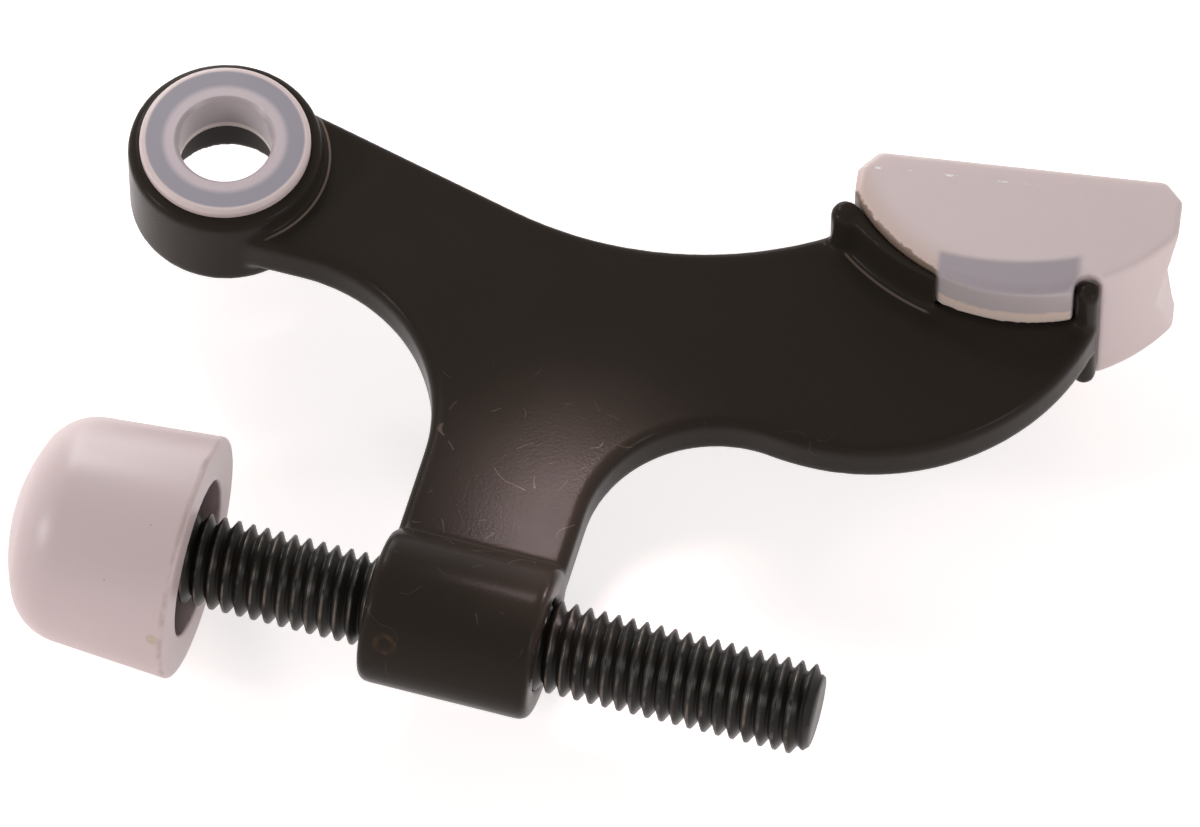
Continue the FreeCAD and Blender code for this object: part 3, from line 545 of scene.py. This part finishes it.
def warm_vinyl():
    """Moulded white vinyl: soft sheen, a little translucent, specks, a soiled rim and a gate's scar."""
    look = settings().cap
    material, tree, shader = start_material("Moulded white vinyl")
    place = add_node(tree, "ShaderNodeTexCoord").outputs["Object"]
    along = split(tree, place)["X"]
    dots = product(tree, specks(tree, place, 2.4, 0.2, 0.8), 0.7)
    edge = CAP_HIGH.x
    rim = ease(tree, along, edge - 0.75 * MM, edge - 0.35 * MM, 0.0, 0.3)
    rim = product(tree, rim, ease(tree, along, edge - 0.06 * MM, edge - 0.2 * MM))
    rim = product(tree, rim, ease(tree, noise(tree, place, 1.6, 4.0), 0.42, 0.62))
    skin = blend(tree, highest(tree, dots, rim), look.vinyl, look.soil)
    rim_out = (CAP_HIGH.z - CAP_LOW.z) / 2
    out = rim_out - (rim_out - look.shoulder_diameter / 2) * look.gate_place / look.shoulder_place
    gate = (
        edge - look.gate_place,
        SCREW_AXIS.y - out * math.sin(look.gate_angle),
        SCREW_AXIS.z + out * math.cos(look.gate_angle),
    )
    gap = gap_from(tree, place, gate)
    half = look.gate_width / 2
    ring = product(tree, ease(tree, gap, 1.25 * half, half), ease(tree, gap, 0.7 * half, half, 0.3, 1.0))
    ripple = combine(tree, "ADD", product(tree, noise(tree, place, 2.2), 0.35), ring)
    sockets = {
        "Base Color": blend(tree, ease(tree, gap, half, 0.7 * half, 0.0, 0.8), skin, look.scar),
        "Normal": bumps(tree, ripple, 0.3, 0.1),
        "Roughness": 0.36,
        "Subsurface Weight": 0.3,
        "Subsurface Radius": (1.0, 0.8, 0.7),
        "Subsurface Scale": 1.0 * MM,
    }
    set_inputs(tree, shader, sockets)
    return material


def milky_plastic():
    """Soft milky polyethylene: a waxy sheen, greyer over the dark lug, warmer and ragged beside the casting, a front
    painted lighter against its shade, and painted glints near the front edge.
    """
    look = settings().bumper
    material, tree, shader = start_material("Soft milky polyethylene")
    place = add_node(tree, "ShaderNodeTexCoord").outputs["Object"]
    along, flat = saddle_place(tree, place)
    out = gap_from(tree, flat, ORIGIN)
    height = away_from(tree, split(tree, place)["Z"], SEAT.z)
    ragged = product(tree, combine(tree, "SUBTRACT", noise(tree, place, 0.9, 4.0), 0.5), 0.7 * MM)
    left = ease(tree, along, TAB_RIGHT, TAB_RIGHT - 1.0 * MM)
    near = product(tree, ease(tree, out, WARM_START, PAD_OUT, 0.0, 0.75), left)
    skin = blend(tree, near, look.milk, look.warm)
    over_lug = ease(tree, gap_from(tree, flat, LUG_CENTRE), LUG_RADIUS, LUG_RADIUS + 0.7 * MM)
    metal = product(tree, ease(tree, along, TAB_LEFT, TAB_LEFT + 0.65 * MM), left, over_lug)
    skin = blend(tree, metal, skin, look.over_metal)
    # Painted light: the tab's front gets a lighter grey than its top to make up for its shade; the lip lies on it.
    face = product(tree, metal, ease(tree, out, TAB_FRONT, TAB_FRONT + 0.14 * MM))
    skin = blend(tree, face, skin, look.front)
    low = ease(tree, combine(tree, "ADD", height, ragged), TAB_LIP_HEIGHT, TAB_LIP_HEIGHT - 0.5 * MM)
    skin = blend(tree, product(tree, face, low), skin, look.lip)
    edge = ease(tree, combine(tree, "ADD", out, ragged), FLASH_START, FLASH_START + 0.14 * MM, 0.0, 0.9)
    flash = product(tree, edge, combine(tree, "SUBTRACT", 1.0, metal), left)
    skin = blend(tree, flash, skin, look.flash)
    skin = blend(tree, product(tree, specks(tree, place, 3.2, 0.3, 0.08), 0.7), skin, look.flash)
    # Painted highlights: a row of short bright dashes near the top's rounded front edge.
    painted_glints = product(
        tree,
        line_at(tree, split(tree, flat)["Y"], GLINT_LINE, 0.3 * MM),
        ease(tree, noise(tree, place, 1.2), 0.53, 0.6),
        ease(tree, along, GLINT_END, GLINT_END - 1.5 * MM),
        ease(tree, height, GLINT_HEIGHT, GLINT_HEIGHT + 0.4 * MM),
    )
    sockets = {
        "Base Color": blend(tree, painted_glints, skin, look.glint),
        "Normal": bumps(tree, noise(tree, place, 2.5), 0.2, 0.08),
        "Roughness": 0.4,
        "Subsurface Weight": 0.4,
        "Subsurface Radius": (1.0, 0.8, 0.7),
        "Subsurface Scale": 1.4 * MM,
    }
    set_inputs(tree, shader, sockets)
    return material


def black_steel():
    """Black oxide on rolled steel: dark flanks, crests rubbed to a faint metal line."""
    look = settings().screw
    material, tree, shader = start_material("Black oxide on rolled steel")
    place = add_node(tree, "ShaderNodeTexCoord").outputs["Object"]
    across = vector_math(tree, "MULTIPLY", place, (0.0, 1.0, 1.0))
    out = gap_from(tree, across, (0.0, SCREW_AXIS.y, SCREW_AXIS.z))
    crest = look.crest_diameter / 2
    rubbed = add_node(
        tree, "ShaderNodeMapRange", {"Value": out, 1: crest - 0.12 * MM, 2: crest - 0.01 * MM, 3: 0.0, 4: 1.0}
    ).outputs["Result"]
    worn = add_node(
        tree, "ShaderNodeMapRange", {"Value": noise(tree, place, 1.6, 3.0), 1: 0.38, 2: 0.6, 3: 0.0, 4: 0.8}
    ).outputs["Result"]
    share = product(tree, rubbed, worn)
    sockets = {
        "Base Color": blend(tree, share, look.oxide, look.bare),
        "Metallic": share,
        "Roughness": 0.34,
        "Specular IOR Level": 0.17,
    }
    set_inputs(tree, shader, sockets)
    return material


class DOORSTOP_OT_casting(bpy.types.Operator):
    """Eases the die casting's edges and paints it"""

    bl_idname = "doorstop.casting"
    bl_label = "Casting"

    def execute(self, context):
        look = settings().casting
        bm = soften("cast_body", look.voxel, look.rounds)
        finish_piece(bm, "casting_skin", "casting", "cast_body", painted_casting())
        return {"FINISHED"}


class DOORSTOP_OT_bushing(bpy.types.Operator):
    """Gives the eye's bushing its plastic"""

    bl_idname = "doorstop.bushing"
    bl_label = "Bushing"

    def execute(self, context):
        dress_node("eye_bushing", clear_nylon())
        return {"FINISHED"}


class DOORSTOP_OT_screw(bpy.types.Operator):
    """Cuts the screw's thread and gives it a head and a bevelled point"""

    bl_idname = "doorstop.screw"
    bl_label = "Screw"

    def execute(self, context):
        look = settings().screw
        crest = look.crest_diameter / 2
        root = crest - look.depth
        flank = (look.pitch - look.crest_flat - look.root_flat) / 2
        neck = SCREW_LOW.x + look.head_thickness
        lead = neck - look.pitch
        bm = bmesh.new()
        verts, edges = make_chain(
            bm,
            [
                (lead, root),
                (lead + look.root_flat, root),
                (lead + look.root_flat + flank, crest),
                (lead + look.root_flat + flank + look.crest_flat, crest),
                (lead + look.pitch, root),
            ],
        )
        turns = math.ceil((SCREW_HIGH.x - lead) / look.pitch) + 1
        bmesh.ops.spin(
            bm,
            geom=verts + edges,
            cent=SCREW_AXIS,
            axis=(1, 0, 0),
            dvec=(look.pitch / look.turn_steps, 0, 0),
            angle=math.tau * turns,
            steps=look.turn_steps * turns,
        )
        bmesh.ops.remove_doubles(bm, verts=bm.verts, dist=THREAD_MERGE_GAP)
        for place, side in ((neck - THREAD_ROOT_IN_HEAD, -1), (SCREW_HIGH.x, 1)):
            cut = bmesh.ops.bisect_plane(
                bm,
                geom=bm.verts[:] + bm.edges[:] + bm.faces[:],
                plane_co=(place, 0, 0),
                plane_no=(side, 0, 0),
                clear_outer=True,
            )
            rim = [item for item in cut["geom_cut"] if isinstance(item, bmesh.types.BMEdge)]
            bmesh.ops.contextual_create(bm, geom=rim)
        for vert in bm.verts:
            away = Vector((0, vert.co.y - SCREW_AXIS.y, vert.co.z - SCREW_AXIS.z))
            room = crest - look.point_chamfer + (SCREW_HIGH.x - vert.co.x)
            if away.length > room:
                vert.co -= away * (1 - room / away.length)
        bmesh.ops.recalc_face_normals(bm, faces=bm.faces)
        head = bmesh.new()
        head_out = (SCREW_HIGH.y - SCREW_LOW.y) / 2
        verts, edges = make_chain(
            head, [(SCREW_LOW.x, 0), (SCREW_LOW.x, head_out), (neck, head_out), (neck, 0)]
        )
        bmesh.ops.bevel(
            head,
            geom=verts[1:3],
            offset=look.head_round,
            segments=5,
            profile=0.5,
            affect="VERTICES",
            material=-1,
        )
        turn_chain(head, head.verts[:], head.edges[:], 72)
        joined = bpy.data.meshes.new("head")
        head.to_mesh(joined)
        head.free()
        bm.from_mesh(joined)
        bpy.data.meshes.remove(joined)
        finish_piece(bm, "screw_with_thread", "rod", "threaded_rod", black_steel())
        return {"FINISHED"}


class DOORSTOP_OT_cap(bpy.types.Operator):
    """Turns the push-on cap with its domed front and the chamber for the screw's head"""

    bl_idname = "doorstop.cap"
    bl_label = "Cap"

    def execute(self, context):
        look = settings().cap
        front, rim = CAP_LOW.x, CAP_HIGH.x
        rim_out = (CAP_HIGH.z - CAP_LOW.z) / 2
        shoulder_out = look.shoulder_diameter / 2
        lean = math.atan((rim_out - shoulder_out) / look.shoulder_place)
        shoulder = rim - look.shoulder_place
        corner = (
            shoulder + look.corner_radius * math.sin(lean),
            shoulder_out - look.corner_radius * math.cos(lean),
        )
        dome = front + look.dome_radius
        meeting = math.atan2(corner[1], dome - corner[0])
        profile = arc((dome, 0.0), look.dome_radius, 0.0, meeting, 10)
        profile += arc(corner, look.corner_radius, meeting, math.pi / 2 - lean, 14)[1:]
        bm = bmesh.new()
        verts, edges = make_chain(
            bm,
            profile
            + [
                (rim, rim_out),
                (rim, look.mouth_diameter / 2),
                (rim - look.mouth_depth, look.mouth_diameter / 2),
                (rim - look.mouth_depth, look.chamber_diameter / 2),
                (rim - look.mouth_depth - look.chamber_depth, look.chamber_diameter / 2),
                (rim - look.mouth_depth - look.chamber_depth, 0),
            ],
        )
        for vert, offset, segments in ((verts[-6], look.rim_round, 6), (verts[-5], look.rim_round / 2, 4)):
            bmesh.ops.bevel(
                bm,
                geom=[vert],
                offset=offset,
                segments=segments,
                profile=0.5,
                affect="VERTICES",
                material=-1,
            )
        turn_chain(bm, bm.verts[:], bm.edges[:], 144)
        finish_piece(bm, "cap_moulding", "cap", "rod_cap", warm_vinyl())
        return {"FINISHED"}


class DOORSTOP_OT_bumper(bpy.types.Operator):
    """Softens the bumper's moulding"""

    bl_idname = "doorstop.bumper"
    bl_label = "Bumper"

    def execute(self, context):
        look = settings().bumper
        bm = soften("arm_bumper", look.voxel, look.rounds)
        finish_piece(bm, "bumper_moulding", "casting", "arm_bumper", milky_plastic())
        return {"FINISHED"}


class DOORSTOP_OT_studio(bpy.types.Operator):
    """Sets the floor, the light and the camera"""

    bl_idname = "doorstop.studio"
    bl_label = "Studio"

    def execute(self, context):
        look = settings().studio
        scene = context.scene
        scene.view_settings.view_transform = "Standard"
        self.lay_floor(scene, look)
        self.light(scene)
        lens = bpy.data.cameras.new("Camera")
        lens.lens = look.lens
        lens.clip_start, lens.clip_end = CLIP_NEAR, CLIP_FAR
        camera = bpy.data.objects.new("Camera", lens)
        camera.location = MIDDLE + CAMERA_SIDE * look.distance
        camera.rotation_euler = (-CAMERA_SIDE).to_track_quat("-Z", "Y").to_euler()
        scene.collection.objects.link(camera)
        scene.camera = camera
        return {"FINISHED"}

    def lay_floor(self, scene, look):
        """A wide white floor that stays white to the camera and keeps the shadow."""
        material, tree, shader = start_material("White floor")
        rays = add_node(tree, "ShaderNodeLightPath").outputs
        sockets = {
            "Base Color": look.floor,
            "Roughness": 0.9,
            "Emission Color": look.glow,
            "Emission Strength": highest(
                tree, rays["Is Camera Ray"], rays["Is Glossy Ray"], rays["Is Transmission Ray"]
            ),
        }
        set_inputs(tree, shader, sockets)
        bm = bmesh.new()
        bmesh.ops.create_grid(bm, x_segments=1, y_segments=1, size=FLOOR_HALF)
        bmesh.ops.translate(bm, verts=bm.verts, vec=(0, 0, CAD_BOX[0].z - FLOOR_GAP))
        mesh = bpy.data.meshes.new("floor")
        bm.to_mesh(mesh)
        bm.free()
        mesh.materials.append(material)
        floor = bpy.data.objects.new("floor", mesh)
        scene.collection.objects.link(floor)

    def light(self, scene):
        """A pale dome, darker overhead, with weak soft boxes and spots for the leg's sheen and the sleeve's glint."""
        world = bpy.data.worlds.new("Studio")
        scene.world = world
        world.use_nodes = True
        tree = world.node_tree
        tree.nodes.clear()
        place = add_node(tree, "ShaderNodeTexCoord").outputs["Generated"]
        ramp = add_node(tree, "ShaderNodeValToRGB", {"Fac": split(tree, place)["Z"]})
        stops = ramp.color_ramp.elements
        stops[0].position, stops[0].color = 0.0, linear(DOME_LOW)
        stops[1].position, stops[1].color = 1.0, linear(DOME_TOP)
        for position, shade in DOME_BETWEEN:
            stops.new(position).color = linear(shade)
        dome = add_node(tree, "ShaderNodeBackground", {"Color": ramp.outputs["Color"], "Strength": 1.0})
        add_node(tree, "ShaderNodeOutputWorld", {"Surface": dome.outputs["Background"]})
        for name, toward, reach, size, power in SOFT_BOXES:
            lamp = bpy.data.lights.new(name, "AREA")
            lamp.shape = "DISK"
            lamp.size = size
            lamp.energy = power
            self.hang(scene, lamp, MIDDLE, toward, reach)
        for name, aim, toward, reach, cone, soft, power in SPOTS:
            lamp = bpy.data.lights.new(name, "SPOT")
            lamp.energy = power
            lamp.color = linear(SPOT_COLOUR)[:3]
            lamp.spot_size = math.radians(cone)
            lamp.spot_blend = 1.0
            lamp.shadow_soft_size = soft * MM
            self.hang(scene, lamp, Vector(aim) * MM, toward, reach * MM)

    def hang(self, scene, lamp, aim, toward, reach):
        """Hangs a lamp off a point in a direction, facing the point and out of the picture."""
        holder = bpy.data.objects.new(lamp.name, lamp)
        way = Vector(toward).normalized()
        holder.location = aim + way * reach
        holder.rotation_euler = (-way).to_track_quat("-Z", "Y").to_euler()
        holder.visible_camera = False
        scene.collection.objects.link(holder)


class DOORSTOP_PT_panel(bpy.types.Panel):
    """Lists the door stop's pieces and its studio"""

    bl_label = "Door Stop"
    bl_idname = "DOORSTOP_PT_panel"
    bl_space_type = "VIEW_3D"
    bl_region_type = "UI"
    bl_category = "Door Stop"

    def draw(self, context):
        for operator, group in zip(OPERATORS, ("casting", "bushing", "screw", "cap", "bumper", "studio")):
            box = self.layout.box()
            box.operator(operator.bl_idname)
            holder = getattr(context.scene.door_stop, group)
            for name in holder.__annotations__:
                box.prop(holder, name)


OPERATORS = (
    DOORSTOP_OT_casting,
    DOORSTOP_OT_bushing,
    DOORSTOP_OT_screw,
    DOORSTOP_OT_cap,
    DOORSTOP_OT_bumper,
    DOORSTOP_OT_studio,
)
CLASSES = (*PIECE_GROUPS.values(), DoorStopSettings, *OPERATORS, DOORSTOP_PT_panel)


def register():
    for item in CLASSES:
        bpy.utils.register_class(item)
    bpy.types.Scene.door_stop = PointerProperty(type=DoorStopSettings)


def unregister():
    del bpy.types.Scene.door_stop
    for item in reversed(CLASSES):
        bpy.utils.unregister_class(item)


def main():
    register()
    bpy.ops.doorstop.casting()
    bpy.ops.doorstop.bushing()
    bpy.ops.doorstop.screw()
    bpy.ops.doorstop.cap()
    bpy.ops.doorstop.bumper()
    bpy.ops.doorstop.studio()


if __name__ == "__main__":
    main()
